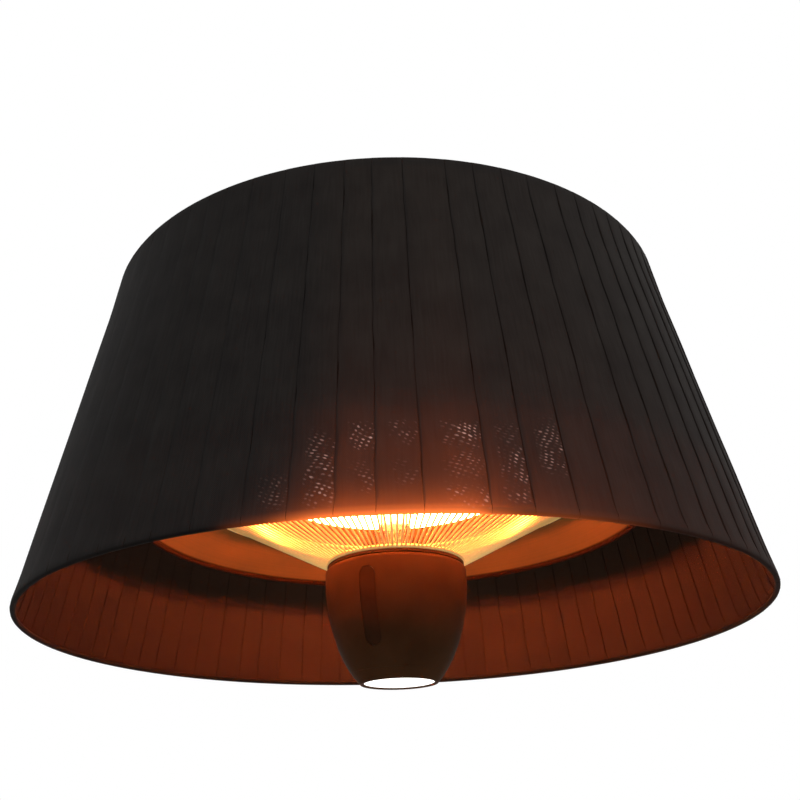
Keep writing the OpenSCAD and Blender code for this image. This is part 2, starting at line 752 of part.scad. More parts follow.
function cup_curve(inset, z0) =
    let (t0 = asin((z0 - cup_belly_h) / cup_b))
    [for (i = [0:ellipse_steps]) let (t = t0 * (1 - i / ellipse_steps))
        [cup_r0 * cos(t) - inset, cup_belly_h + cup_b * sin(t)]];

function reversed(list) = [for (i = [len(list) - 1:-1:0]) list[i]];

module cup_wall() {
    rs = cup_shoulder_r;
    rotate_extrude() polygon(concat(
        cup_curve(0, bezel_top + touch),
        arc(cup_r0 - rs, cup_top_h - rs, rs, 0, 90, corner_steps),
        [[cup_r0 - rs - 1.5, cup_top_h], [cup_r0 - rs - 1.5, cup_top_h - cup_t]],
        [[cup_r0 - cup_t, cup_top_h - cup_t - 2]],
        reversed(cup_curve(cup_t, bezel_top + touch))
    ));
}

module window_slot(grow) {
    r = window_w / 2;
    rotate([0, 0, window_a - 90]) translate([0, 0, window_top_h - r]) rotate([90, 0, 90])
        linear_extrude(cup_d) polygon(concat(
            arc(0, 0, r + grow, 0, 180, 16),
            arc(0, 2 * r - window_h, r + grow, 180, 360, 16)
        ));
}

module cup_shell() hang() color([0.2, 0.12, 0.09]) {
    difference() {
        cup_wall();
        window_slot(hole_fit);
    }
    lid_screw_posts();
}

// Posts that the lid is screwed to, each on a web that joins it to the wall
module lid_screw_posts() {
    z0 = cup_top_h - post_h;
    round_about(lid_screw_count, 30) difference() {
        union() {
            translate([lid_screw_at, 0, z0]) cylinder(h = post_h, d = post_d);
            translate([lid_screw_at, -1.5, z0]) cube([cup_r0 - cup_t / 2 - lid_screw_at, 3, post_h - cup_t - 3]);
        }
        translate([lid_screw_at, 0, cup_top_h - 12]) cylinder(h = 13, r = screw_d / 2 + touch);
    }
}

module receiver_window() hang() color([0.05, 0.03, 0.03]) intersection() {
    cup_wall();
    window_slot(0);
}

module receiver_board() hang() color("darkgreen") rotate([0, 0, window_a - 90]) {
    h = 44;
    r = cup_r(window_top_h - window_h) - cup_t - 8;
    translate([r, -window_w / 2, lid_z - touch - h]) cube([1.6, window_w, h]);
    translate([r + 1.5, -3, window_top_h - window_w]) cube([5, 6, 7]);
}

module light_bezel() hang() color([0.15, 0.1, 0.08]) {
    pocket_r = lens_r + seat;
    step_r = sink_r + seat;
    spigot_r = cup_r(bezel_top + touch) - cup_t - seat;
    rotate_extrude() polygon(concat(
        [[bezel_opening_d / 2, nose_z]],
        [for (i = [0:6]) let (z = nose_z + bezel_h * i / 6) [cup_r(z), z]],
        [[spigot_r, bezel_top], [spigot_r, bezel_top + spigot_h],
         [min(step_r, spigot_r - spigot_wall / 2), bezel_top + spigot_h],
         [min(step_r, spigot_r - spigot_wall / 2), bezel_top], [pocket_r, bezel_top],
         [pocket_r, nose_z + bezel_lip_t], [bezel_opening_d / 2, nose_z + bezel_lip_t]]
    ));
}

module light_lens() hang() color("white") translate([0, 0, lens_z]) cylinder(h = lens_t, r = lens_r);

module lens_seal() hang() color("black") translate([0, 0, seal_z]) ring(lens_r - seal_d / 2, seal_d / 2);

module light_board() hang() color("whitesmoke") translate([0, 0, led_board_z]) {
    cylinder(h = led_board_t, r = lens_r);
    round_about(8) translate([18, 0, -0.7]) cylinder(h = 0.8, d = 4);
}

module light_heat_sink() hang() color("silver") translate([0, 0, sink_z]) {
    cylinder(h = sink_t, r = sink_r);
    round_about(12) translate([sink_r / 2, -0.75, 0]) cube([sink_r / 2 - 1, 1.5, sink_t + 8]);
}

hanging_bail();
pivot_pin();
pivot_washers();
pin_clip();
swivel_block();
suspension_rod();
rod_nuts();
rod_socket();
socket_bolts();
socket_nuts();
shade_fabric();
shade_top_hoop();
shade_top_spokes();
shade_top_hem();
shade_bottom_hoop();
shade_bottom_hem();
housing_cover();
cover_gasket();
cover_screws();
cable_gland();
gland_locknut();
heat_shield();
shield_spacers();
shield_screws();
control_board();
board_posts();
board_relays();
terminal_block();
terminal_screws();
thermal_cutout();
lamp_leads();
reflector_dish();
lamp_holders();
front_lamp_tube();
rear_lamp_tube();
front_filament();
rear_filament();
lamp_caps();
wire_guard();
guard_clips();
clip_screws();
centre_tube();
ring_nuts();
cup_loom();
cup_lid();
lid_screws();
cup_shell();
receiver_window();
receiver_board();
light_bezel();
light_lens();
lens_seal();
light_board();
light_heat_sink();
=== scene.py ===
import json
import math
import random

import bmesh
import bpy
from mathutils import Matrix, Vector


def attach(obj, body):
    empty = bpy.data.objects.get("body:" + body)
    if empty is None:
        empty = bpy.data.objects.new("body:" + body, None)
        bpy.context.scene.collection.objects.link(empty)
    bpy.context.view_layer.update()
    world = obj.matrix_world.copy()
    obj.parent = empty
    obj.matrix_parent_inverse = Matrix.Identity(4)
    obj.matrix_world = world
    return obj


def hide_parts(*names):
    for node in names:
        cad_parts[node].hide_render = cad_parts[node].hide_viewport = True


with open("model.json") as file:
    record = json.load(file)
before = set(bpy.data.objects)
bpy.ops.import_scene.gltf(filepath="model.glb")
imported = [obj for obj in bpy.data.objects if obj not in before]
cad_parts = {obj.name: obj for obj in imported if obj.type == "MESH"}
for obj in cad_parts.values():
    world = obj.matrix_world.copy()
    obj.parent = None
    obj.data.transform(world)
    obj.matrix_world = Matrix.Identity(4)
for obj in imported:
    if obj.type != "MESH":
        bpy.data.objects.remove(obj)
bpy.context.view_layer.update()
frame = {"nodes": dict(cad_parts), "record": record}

MM = 0.001
EYE_HEIGHT = 358.0      # mm from the shade's bottom edge up to the hanging eye, the frame's origin
AXIS = (0, 0, 1)
TURN = 2 * math.pi

# Heights are mm above the shade's bottom edge, and radii are mm from the heater's axis. A hoop is
# given by the radius and height of its wire's middle.
SHADE_HEIGHT = 287.0
SHADE_BOTTOM_R = 300.0
SHADE_TOP_R = 245.0
BOTTOM_HOOP = (297.74, 1.9)
TOP_HOOP = (243.67, 284.0)


def place(radius, height, angle=0.0):
    """A point by its radius and height in mm, and its angle from the front towards +X."""
    r = radius * MM
    return Vector((r * math.sin(angle), -r * math.cos(angle), (height - EYE_HEIGHT) * MM))


def srgb(code):
    """A hex colour as linear red, green, blue and alpha."""
    parts = [int(code[i:i + 2], 16) / 255 for i in (0, 2, 4)]
    return [c / 12.92 if c < 0.04045 else ((c + 0.055) / 1.055) ** 2.4 for c in parts] + [1.0]


def put_in_scene(name, data):
    """A new object in the scene for a mesh, a lamp or a camera."""
    made = bpy.data.objects.new(name, data)
    bpy.context.scene.collection.objects.link(made)
    return made


# Camera: stands low in front of the heater and looks up into the shade. It is turned to the
# side, up, and about its own line of sight, in radians.
CAMERA_AT = (0.0, -0.80125, -0.52417)
CAMERA_ASIDE, CAMERA_UP, CAMERA_LEAN = -0.0111, 0.4363, -0.0369
camera_data = bpy.data.cameras.new("low_front_view")
camera_data.sensor_width = 36.0
camera_data.lens = 43.38
camera = put_in_scene("low_front_view", camera_data)
camera.matrix_world = (
    Matrix.Translation(CAMERA_AT)
    @ Matrix.Rotation(CAMERA_ASIDE, 4, "Z")
    @ Matrix.Rotation(math.pi / 2 + CAMERA_UP, 4, "X")
    @ Matrix.Rotation(CAMERA_LEAN, 4, "Z")
)
bpy.context.scene.camera = camera


# Materials

# Light's own colours, linear: the lamps', and the painted glows on the cloth and the guard's wires
LAMP_HUE, CLOTH_GLOW_HUE, WIRE_HUE = (
    [1.0, 0.22, 0.05, 1.0], [1.0, 0.185, 0.034, 1.0], [1.0, 0.74, 0.25, 1.0])


def add(tree, kind, inputs=None, **settings):
    """Adds a node; inputs are values or the sockets of other nodes, by name or number."""
    made = tree.nodes.new("ShaderNode" + kind)
    for key, value in settings.items():
        setattr(made, key, value)
    for key, value in (inputs or {}).items():
        if isinstance(value, bpy.types.NodeSocket):
            tree.links.new(value, made.inputs[key])
        else:
            made.inputs[key].default_value = value
    return made


def blank_material(name):
    material = bpy.data.materials.new(name)
    material.use_nodes = True
    material.node_tree.nodes.clear()
    return material, material.node_tree


def solid_finish(name, light, dark, rough, cloud_mm, grain_mm, relief_mm, more=None):
    """Paint, moulding or casting: two close tones in clouds, a fine relief and uneven gloss.

    rough is the least and the most roughness; more is values for the shader's other inputs."""
    material, tree = blank_material(name)
    where = add(tree, "TexCoord").outputs["Object"]
    clouds = add(tree, "TexNoise", {"Vector": where, "Scale": 1 / (cloud_mm * MM), "Detail": 3.0})
    share = add(tree, "MapRange", {0: clouds.outputs["Fac"], 1: 0.3, 2: 0.7})
    tone = add(tree, "MixRGB", {0: share.outputs[0], 1: srgb(dark), 2: srgb(light)})
    grain = add(tree, "TexNoise", {"Vector": where, "Scale": 1 / (grain_mm * MM), "Detail": 2.0})
    relief = add(tree, "Bump", {"Height": grain.outputs["Fac"], "Distance": relief_mm * MM})
    gloss = add(tree, "MapRange", {0: clouds.outputs["Color"], 1: 0.3, 2: 0.7,
                                   3: rough[0], 4: rough[1]})
    shader = add(tree, "BsdfPrincipled", {
        "Base Color": tone.outputs[0], "Roughness": gloss.outputs[0], "Normal": relief.outputs[0],
        **(more or {})})
    add(tree, "OutputMaterial", {"Surface": shader.outputs[0]})
    return material


HAIRLINE, HAIRLINE_DEPTH = 0.6, 0.006       # mm across and deep


def plated_finish(name, light, dark, rough, spangle_mm, more=None):
    """Plated metal: crystals turn brighter and duller, under upright hairline handling marks."""
    material, tree = blank_material(name)
    where = add(tree, "TexCoord").outputs["Object"]
    crystals = add(tree, "TexVoronoi", {"Vector": where, "Scale": 1 / (spangle_mm * MM)})
    stretched = add(tree, "Mapping", {"Vector": where, "Scale": (1.0, 1.0, 0.08)})
    marks = add(tree, "TexNoise", {
        "Vector": stretched.outputs[0], "Scale": 1 / (HAIRLINE * MM), "Detail": 2.0})
    mixed = add(tree, "MixRGB", {0: 0.4, 1: crystals.outputs["Color"], 2: marks.outputs["Fac"]})
    tone = add(tree, "MixRGB", {0: mixed.outputs[0], 1: srgb(dark), 2: srgb(light)})
    gloss = add(tree, "MapRange", {0: mixed.outputs[0], 1: 0.1, 2: 0.9, 3: rough[0], 4: rough[1]})
    relief = add(tree, "Bump", {"Height": marks.outputs["Fac"], "Distance": HAIRLINE_DEPTH * MM})
    shader = add(tree, "BsdfPrincipled", {
        "Base Color": tone.outputs[0], "Metallic": 1.0, "Roughness": gloss.outputs[0],
        "Normal": relief.outputs[0], **(more or {})})
    add(tree, "OutputMaterial", {"Surface": shader.outputs[0]})
    return material


SPUN_CLOUD = 45.0               # mm across the clouds on a spun piece
RIM_BEAD = (215.0, 217.0)       # mm from the axis, where the painted shade on a dish's bead begins and is full


def spun_finish(name, light, dark, rough, ring_mm, relief_mm):
    """Metal turned on a lathe: fine rings about the axis, brighter and duller by turns."""
    material, tree = blank_material(name)
    where = add(tree, "TexCoord").outputs["Object"]
    parts = add(tree, "SeparateXYZ", {0: where})
    flat = add(tree, "CombineXYZ", {0: parts.outputs[0], 1: parts.outputs[1]})
    radius = add(tree, "VectorMath", {0: flat.outputs[0]}, operation="LENGTH")
    across = add(tree, "CombineXYZ", {0: radius.outputs["Value"], 1: parts.outputs[2]})
    rings = add(tree, "TexNoise", {
        "Vector": across.outputs[0], "Scale": 1 / (ring_mm * MM), "Detail": 2.0})
    clouds = add(tree, "TexNoise", {
        "Vector": where, "Scale": 1 / (SPUN_CLOUD * MM), "Detail": 3.0})
    mixed = add(tree, "MixRGB", {0: 0.5, 1: rings.outputs["Fac"], 2: clouds.outputs["Fac"]})
    share = add(tree, "MapRange", {0: mixed.outputs[0], 1: 0.35, 2: 0.65})
    plain = add(tree, "MixRGB", {0: share.outputs[0], 1: srgb(dark), 2: srgb(light)})
    # The bead of a dish's rolled rim is painted duller and browner: a painted shade.
    shaded_bead = add(tree, "MapRange", {
        0: radius.outputs["Value"], 1: RIM_BEAD[0] * MM, 2: RIM_BEAD[1] * MM})
    tone = add(tree, "MixRGB", {0: shaded_bead.outputs[0], 1: plain.outputs[0], 2: srgb("2E1A10")})
    gloss = add(tree, "MapRange", {0: mixed.outputs[0], 1: 0.35, 2: 0.65,
                                   3: rough[0], 4: rough[1]})
    relief = add(tree, "Bump", {"Height": rings.outputs["Fac"], "Distance": relief_mm * MM})
    shader = add(tree, "BsdfPrincipled", {
        "Base Color": tone.outputs[0], "Metallic": 1.0, "Roughness": gloss.outputs[0],
        "Normal": relief.outputs[0]})
    add(tree, "OutputMaterial", {"Surface": shader.outputs[0]})
    return material


LIT_CLOUD = 4.0                 # mm across the clouds in a lit surface's light


def lit_finish(name, hue, strength, gloss):
    """A lit surface: its own light, a little uneven, under a smooth skin."""
    material, tree = blank_material(name)
    where = add(tree, "TexCoord").outputs["Object"]
    clouds = add(tree, "TexNoise", {"Vector": where, "Scale": 1 / (LIT_CLOUD * MM), "Detail": 2.0})
    power = add(tree, "MapRange", {0: clouds.outputs["Fac"], 1: 0.3, 2: 0.7,
                                   3: strength * 0.9, 4: strength * 1.1})
    shader = add(tree, "BsdfPrincipled", {
        "Base Color": srgb("D8D2C8"), "Roughness": gloss,
        "Emission Color": hue, "Emission Strength": power.outputs[0]})
    add(tree, "OutputMaterial", {"Surface": shader.outputs[0]})
    return material


# The cloth's yarns are 0.3 mm apart on the real shade, and 1.1 mm here so that the weave shows.
YARN_GAP, YARN_RELIEF, SLUB, CLOTH_CLOUD = 1.1, 0.06, 1.6, 28.0     # mm
# The first 5 mm, turned round the bottom hoop, are painted darker: a painted shade on the hem.
HEM_SHADE = (4.6, 6.4)              # mm up the cloth, where the painted shade fades out


def woven_cloth(name, light, dark):
    """A stiff woven cloth's colour, weave and matt face; the caller says how it lets light by."""
    material, tree = blank_material(name)
    laid = add(tree, "UVMap", uv_map="cloth").outputs[0]
    turned = add(tree, "VectorMath", {0: laid, "Scale": TURN / (YARN_GAP * MM)}, operation="SCALE")
    yarns = add(tree, "SeparateXYZ", {0: turned.outputs[0]})
    warp = add(tree, "Math", {0: yarns.outputs[0]}, operation="SINE")
    weft = add(tree, "Math", {0: yarns.outputs[1]}, operation="SINE")
    weave = add(tree, "Math", {0: warp.outputs[0], 1: weft.outputs[0]}, operation="MULTIPLY")
    along = add(tree, "Mapping", {"Vector": laid, "Scale": (1.0, 0.05, 1.0)})
    slubs = add(tree, "TexNoise", {
        "Vector": along.outputs[0], "Scale": 1 / (SLUB * MM), "Detail": 3.0})
    clouds = add(tree, "TexNoise", {
        "Vector": laid, "Scale": 1 / (CLOTH_CLOUD * MM), "Detail": 3.0})
    mixed = add(tree, "MixRGB", {0: 0.5, 1: slubs.outputs["Fac"], 2: clouds.outputs["Fac"]})
    share = add(tree, "MapRange", {0: mixed.outputs[0], 1: 0.3, 2: 0.7})
    plain = add(tree, "MixRGB", {0: share.outputs[0], 1: srgb(dark), 2: srgb(light)})
    height = add(tree, "SeparateXYZ", {0: laid})
    # Painted shade: the cloth turned round the bottom hoop is darkened.
    past_hem_shade = add(tree, "MapRange", {0: height.outputs[1], 1: HEM_SHADE[0] * MM, 2: HEM_SHADE[1] * MM})
    tone = add(tree, "MixRGB", {0: past_hem_shade.outputs[0], 1: srgb("100F0E"), 2: plain.outputs[0]})
    raised = add(tree, "Math", {0: weave.outputs[0], 1: 0.5, 2: slubs.outputs["Fac"]},
                 operation="MULTIPLY_ADD")
    relief = add(tree, "Bump", {"Height": raised.outputs[0], "Distance": YARN_RELIEF * MM})
    face = add(tree, "BsdfPrincipled", {
        "Base Color": tone.outputs[0], "Roughness": 0.85, "Specular IOR Level": 0.06,
        "Normal": relief.outputs[0]})
    return material, tree, laid, face


# Gaping yarns make slanting dashes in rows. The cloth's pull bends the rows by up to 6 mm each
# way, and the dashes come in patches. Sizes are in mm.
DASH_GAP, DASH_ROW, DASH_SLANT = 3.6, 2.6, math.radians(24)
DASH_PATCH, DASH_UNEVEN = 9.0, 3.5
PULL_LENGTH, PULL_SPAN = 25.0, 12.0
# How deep the breaks between dashes are and how ragged the dashes; then where, as the pattern
# rises, a dash and a patch begin and are full
DASH_BREAK, RAGGED, DASH_EDGE, PATCH_EDGE = 0.6, 3.4, (2.4, 3.2), (0.4, 0.58)
GAPE = 0.6                      # share of a fully slack dash that is painted with a pale glow


def gaping_yarns(tree, laid):
    """How open the yarns are, which sets their painted glow: 0 in tight cloth, more in slack
    dashes.
    """
    pull = add(tree, "TexNoise", {"Vector": laid, "Scale": 1 / (PULL_LENGTH * MM), "Detail": 1.0})
    span = PULL_SPAN * MM
    bent = add(tree, "VectorMath", {0: pull.outputs["Color"], 1: (span, span, 0), 2: laid},
               operation="MULTIPLY_ADD")
    slant = add(tree, "Mapping", {"Vector": bent.outputs[0], "Rotation": (0, 0, DASH_SLANT)})
    rows = (TURN / (DASH_GAP * MM), TURN / (DASH_ROW * MM), 0)
    spaced = add(tree, "VectorMath", {0: slant.outputs[0], 1: rows}, operation="MULTIPLY")
    ways = add(tree, "SeparateXYZ", {0: spaced.outputs[0]})
    across = add(tree, "Math", {0: ways.outputs[0]}, operation="SINE")
    up = add(tree, "Math", {0: ways.outputs[1]}, operation="SINE")
    lattice = add(tree, "Math", {0: across.outputs[0], 1: DASH_BREAK, 2: up.outputs[0]},
                  operation="MULTIPLY_ADD")
    uneven = add(tree, "TexNoise", {
        "Vector": laid, "Scale": 1 / (DASH_UNEVEN * MM), "Detail": 2.0})
    rough_lattice = add(tree, "Math", {0: uneven.outputs["Fac"], 1: RAGGED, 2: lattice.outputs[0]},
                        operation="MULTIPLY_ADD")
    dashes = add(tree, "MapRange", {
        0: rough_lattice.outputs[0], 1: DASH_EDGE[0], 2: DASH_EDGE[1]})
    patches = add(tree, "TexNoise", {
        "Vector": laid, "Scale": 1 / (DASH_PATCH * MM), "Detail": 1.0})
    patchy = add(tree, "MapRange", {
        0: patches.outputs["Fac"], 1: PATCH_EDGE[0], 2: PATCH_EDGE[1], 3: 0.05})
    clumped = add(tree, "Math", {0: dashes.outputs[0], 1: patchy.outputs[0]}, operation="MULTIPLY")
    slack = add(tree, "Attribute", attribute_name="slack")
    gaping = add(tree, "Math", {0: clumped.outputs[0], 1: slack.outputs["Fac"]},
                 operation="MULTIPLY")
    return add(tree, "Math", {0: gaping.outputs[0], 1: GAPE}, operation="MULTIPLY").outputs[0]


# How far up the cloth light reaches, in mm: through it beside the hoop, and for its painted glow,
# far up it and round the hoop to its very edge
DRAWN_REACH, GLOW_REACH, EDGE_REACH = 10.0, 55.0, (2.0, 11.0)
EDGE_RISE = 1.4                 # the painted glow at the edge at its brightest, before it is squared
FAR_UP_GLOW, DRAWN_LIGHT = 0.06, 0.35       # how bright the painted glow is far up the cloth and beside the hoop
# Shares of the light that cloth lets by: where it is drawn thin, where it is closed, and what
# soaks through the yarns. The lining lets more by.
DRAWN_SHARE, CLOSED_SHARE, SOAKED_SHARE, LINING_SHARE = 0.17, 0.0015, 0.02, 0.15


def fading_up(tree, height, reach):
    """1 at the bottom of the cloth, falling to a third for each reach in mm up it."""
    reaches = add(tree, "Math", {0: height, 1: -1 / (reach * MM)}, operation="MULTIPLY")
    return add(tree, "Math", {0: reaches.outputs[0]}, operation="EXPONENT").outputs[0]


def painted_cloth_glow(tree, height, drawn, thinner):
    """Painted glow for lamplight in the cloth: a little far up, more and more towards the edge."""
    climbed = fading_up(tree, height, GLOW_REACH)
    rising = add(tree, "Math", {0: climbed, 1: FAR_UP_GLOW}, operation="MULTIPLY")
    to_edge = add(tree, "MapRange", {
        0: height, 1: EDGE_REACH[0] * MM, 2: EDGE_REACH[1] * MM, 3: EDGE_RISE, 4: 0.0})
    steep = add(tree, "Math", {0: to_edge.outputs[0], 1: 2.0}, operation="POWER")
    edge_light = add(tree, "Attribute", attribute_name="edge_light")
    near_hoop = add(tree, "Math", {0: drawn, 1: DRAWN_LIGHT, 2: steep.outputs[0]},
                    operation="MULTIPLY_ADD")
    at_edge = add(tree, "Math", {0: near_hoop.outputs[0], 1: edge_light.outputs["Fac"]},
                  operation="MULTIPLY")
    glow_power = add(tree, "Math", {0: rising.outputs[0], 1: thinner, 2: at_edge.outputs[0]},
                operation="MULTIPLY_ADD")
    return add(tree, "Emission", {"Color": CLOTH_GLOW_HUE, "Strength": glow_power.outputs[0]})


def outer_cloth():
    """The shade's outside: the lamps glow through it, with a painted glow low down and in its
    gaps.
    """
    material, tree, laid, face = woven_cloth("woven_charcoal_polyester", "282625", "1C1A1A")
    gaps = gaping_yarns(tree, laid)
    # Beside the hoop the cloth is drawn thin and lets more by.
    height = add(tree, "SeparateXYZ", {0: laid}).outputs[1]
    drawn = fading_up(tree, height, DRAWN_REACH)
    closed = add(tree, "Math", {0: drawn, 1: DRAWN_SHARE, 2: CLOSED_SHARE},
                 operation="MULTIPLY_ADD")
    thin = add(tree, "Attribute", attribute_name="thin").outputs["Fac"]
    thinner = add(tree, "Math", {0: thin, 1: 2.0}, operation="POWER").outputs[0]
    passing = add(tree, "Math", {0: closed.outputs[0], 1: thinner}, operation="MULTIPLY")
    soaked = add(tree, "Math", {0: thin, 1: SOAKED_SHARE}, operation="MULTIPLY")
    # Most light that comes through keeps its way and is softly spread, some is scattered all
    # round, and the gaps are painted with a pale glow of their own for the lamps behind them.
    scattered = add(tree, "BsdfTranslucent", {"Color": srgb("FFE8D0")})
    glow = add(tree, "BsdfRefraction", {"Color": srgb("FFF8E8"), "Roughness": 1.0, "IOR": 1.16})
    painted_gap_glow = add(tree, "Emission", {"Color": srgb("CCA195")})
    cloth = face
    for share, light in ((soaked.outputs[0], scattered), (passing.outputs[0], glow), (gaps, painted_gap_glow)):
        cloth = add(tree, "MixShader", {0: share, 1: cloth.outputs[0], 2: light.outputs[0]})
    # A painted glow goes over the cloth, most of it at the front of its bottom edge.
    painted_glow = painted_cloth_glow(tree, height, drawn, thinner)
    cloth = add(tree, "AddShader", {0: cloth.outputs[0], 1: painted_glow.outputs[0]})
    add(tree, "OutputMaterial", {"Surface": cloth.outputs[0]})
    return material


def inner_cloth():
    """The shade's inside, browned by the lamps, with painted shade on its left and front."""
    material, tree, _, face = woven_cloth("woven_polyester_browned", "3A281D", "2F1F17")
    lining_unshaded = add(tree, "Attribute", attribute_name="lining_unshaded")
    tone = face.inputs["Base Color"].links[0].from_socket
    # Painted shade: the lining is mixed towards dark brown by its place round the shade.
    shaded_lining = add(tree, "MixRGB", {0: lining_unshaded.outputs["Fac"], 1: srgb("0C0807"), 2: tone})
    tree.links.new(shaded_lining.outputs[0], face.inputs["Base Color"])
    passing = add(tree, "BsdfTransparent", {"Color": srgb("FFD9BC")})
    cloth = add(tree, "MixShader", {0: LINING_SHARE, 1: face.outputs[0], 2: passing.outputs[0]})
    add(tree, "OutputMaterial", {"Surface": cloth.outputs[0]})
    return material


FINISHES = {
    # Powder-coated steel: a slight orange peel, half matt, near black
    "black_steel": solid_finish(
        "powder_coated_steel", "24262A", "17181B", (0.42, 0.58), 40, 1.1, 0.05),
    # Zinc-plated steel: cold grey, cloudy, with a soft gloss
    "zinc_steel": plated_finish("zinc_plated_steel", "BFC1C4", "8E9196", (0.28, 0.48), 3.0),
    # Moulded natural nylon: milky, waxy, with a fine spark-eroded grain
    "nylon": solid_finish(
        "natural_nylon", "E2DFD4", "D2CEC0", (0.38, 0.5), 12, 0.5, 0.03,
        {"Subsurface Weight": 0.15, "Subsurface Scale": 2 * MM}),
    # Silicone rubber: matt, dark and slightly dusty
    "seal_rubber": solid_finish(
        "silicone_rubber", "2B2724", "1B1917", (0.7, 0.85), 10, 0.7, 0.03,
        {"Specular IOR Level": 0.3}),
    # Moulded polyamide of the cable gland: dull black, fine grain
    "black_plastic": solid_finish(
        "black_polyamide", "232324", "161617", (0.5, 0.65), 8, 0.5, 0.03),
    # Mill-finish aluminium: pale, lightly streaked by the rolls
    "plain_aluminium": plated_finish("mill_aluminium", "CFD0D2", "A9ABAE", (0.32, 0.45), 9.0),
    # Glass-fibre circuit board: glossy green mask over a faint cloth weave
    "circuit_board": solid_finish(
        "green_solder_mask", "1D5B34", "12401F", (0.25, 0.4), 5, 1.2, 0.03),
    # Aluminium-core board of the light: white mask, even and smooth
    "white_board": solid_finish(
        "white_solder_mask", "F0EFEA", "DCDBD4", (0.35, 0.45), 5, 1.2, 0.02),
    # Relay cases of polyester: blue-black, smooth
    "relay_plastic": solid_finish(
        "relay_polyester", "20303F", "172430", (0.35, 0.5), 7, 0.8, 0.02),
    # Nickel-plated brass screws: warm, small crystals
    "brass_screw": plated_finish("plated_brass", "CDAE6E", "9B7E45", (0.22, 0.4), 1.5),
    # Braided glass-fibre sleeve on the lamp leads: dry and cream, with a coarse braid
    "lead_sleeve": solid_finish(
        "glass_fibre_sleeve", "D8CFBD", "B3A78F", (0.7, 0.85), 3, 0.7, 0.12,
        {"Specular IOR Level": 0.3}),
    # Steatite: cream ceramic with a matt bite and faint kiln speckle
    "lamp_ceramic": solid_finish(
        "steatite_ceramic", "E4DDCB", "CBBFA6", (0.5, 0.65), 5, 0.6, 0.04),
    # Satin lacquer on spun steel: very dark brown, even, with hardly any gloss
    "cup_paint": solid_finish(
        "satin_brown_lacquer", "472F1D", "3C2717", (0.5, 0.6), 30, 2.5, 0.012,
        {"Specular IOR Level": 0.01}),
    # Bronze-anodised spun aluminium: dark and satin, so the lamps turn it deep orange; its lathe
    # rings are drawn 1.6 mm apart so that they show
    "reflector_aluminium": spun_finish(
        "bronze_anodised_aluminium", "8E6535", "76542B", (0.75, 0.9), 1.6, 0.02),
    # Polished and plated steel tube: bright, with faint lathe rings
    "polished_tube": spun_finish("polished_steel", "DAD8D4", "C2BFBA", (0.1, 0.2), 3.0, 0.008),
    # Bright nickel on steel wire, turned straw-coloured by the heat, with a painted glow of its
    # own for the lamps' light that runs along and between the wires
    "guard_wire": plated_finish(
        "heat_tinted_nickel", "E8CC88", "D2B066", (0.3, 0.5), 2.0,
        {"Emission Color": WIRE_HUE, "Emission Strength": 0.2}),
    # Smoked acrylic over the receiver: nearly black, passes only the remote control's light
    "window_plastic": solid_finish(
        "smoked_acrylic", "3C2618", "311F11", (0.3, 0.36), 20, 6.0, 0.004,
        {"Specular IOR Level": 0.02}),
    # Gold-tinted quartz over a tungsten filament at full heat: blown out white in the middle
    "lit_quartz": lit_finish("lit_quartz", LAMP_HUE, 225.0, 0.1),
    "lit_filament": lit_finish("lit_tungsten", LAMP_HUE, 260.0, 0.5),
    # Opal polycarbonate lens over white light-emitting diodes
    "lit_lens": lit_finish("opal_polycarbonate", srgb("FFFAF4"), 1.6, 0.3),
    # Bias tape rolled round the hoops: fine twill, a little darker than the shade
    "hem_fabric": solid_finish(
        "bias_tape", "141110", "0E0C0B", (0.75, 0.9), 3, 0.8, 0.06,
        {"Specular IOR Level": 0.15}),
    # Charcoal polyester as bought for shades: stiffened, plain woven, matt
    "pleated_fabric": outer_cloth(),
}
shade_lining = inner_cloth()

for subpart in frame["record"]["subparts"]:
    slots = frame["nodes"][subpart["node"]].data.materials
    slots.clear()
    slots.append(FINISHES[subpart["material_slot"]])


# Making pieces

SHARP_ANGLE = 35.0              # degrees; edges that turn by more look sharp
SPIN_STEPS = 160                # round the axis


def mesh_of(name, bm):
    """A mesh from a bmesh, which is then freed."""
    mesh = bpy.data.meshes.new(name)
    bm.to_mesh(mesh)
    bm.free()
    return mesh


def smooth_faces(mesh, sharp_angle=SHARP_ANGLE):
    mesh.shade_smooth()
    mesh.set_sharp_from_angle(angle=math.radians(sharp_angle))


def piece_of(name, bm, slot_name, replaced, sharp_angle=SHARP_ANGLE):
    """A finished piece of the heater from a bmesh, in place of the CAD node named."""
    mesh = mesh_of(name, bm)
    mesh.materials.append(FINISHES[slot_name])
    smooth_faces(mesh, sharp_angle)
    piece = put_in_scene(name, mesh)
    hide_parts(replaced)
    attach(piece, "heater")
    return piece


def spun(outline, steps=SPIN_STEPS, closed=True):
    """A bmesh turned about the heater's axis from an outline of (radius, height) points."""
    bm = bmesh.new()
    points = [bm.verts.new(place(r, h)) for r, h in outline]
    count = len(points) if closed else len(points) - 1
    edges = [bm.edges.new((points[i], points[(i + 1) % len(points)])) for i in range(count)]
    bmesh.ops.spin(bm, geom=points + edges, cent=(0, 0, 0), axis=AXIS, angle=TURN, steps=steps,
                   use_merge=True)
    bmesh.ops.remove_doubles(bm, verts=bm.verts, dist=1e-7)
    bmesh.ops.recalc_face_normals(bm, faces=bm.faces)
    return bm


def drawn_out(bm, edges):
    """Extrudes edges and gives the new vertices and the new edges between them."""
    grown = bmesh.ops.extrude_edge_only(bm, edges=edges)["geom"]
    verts = {part for part in grown if isinstance(part, bmesh.types.BMVert)}
    far_edges = [part for part in grown
                 if isinstance(part, bmesh.types.BMEdge) and set(part.verts) <= verts]
    return verts, far_edges


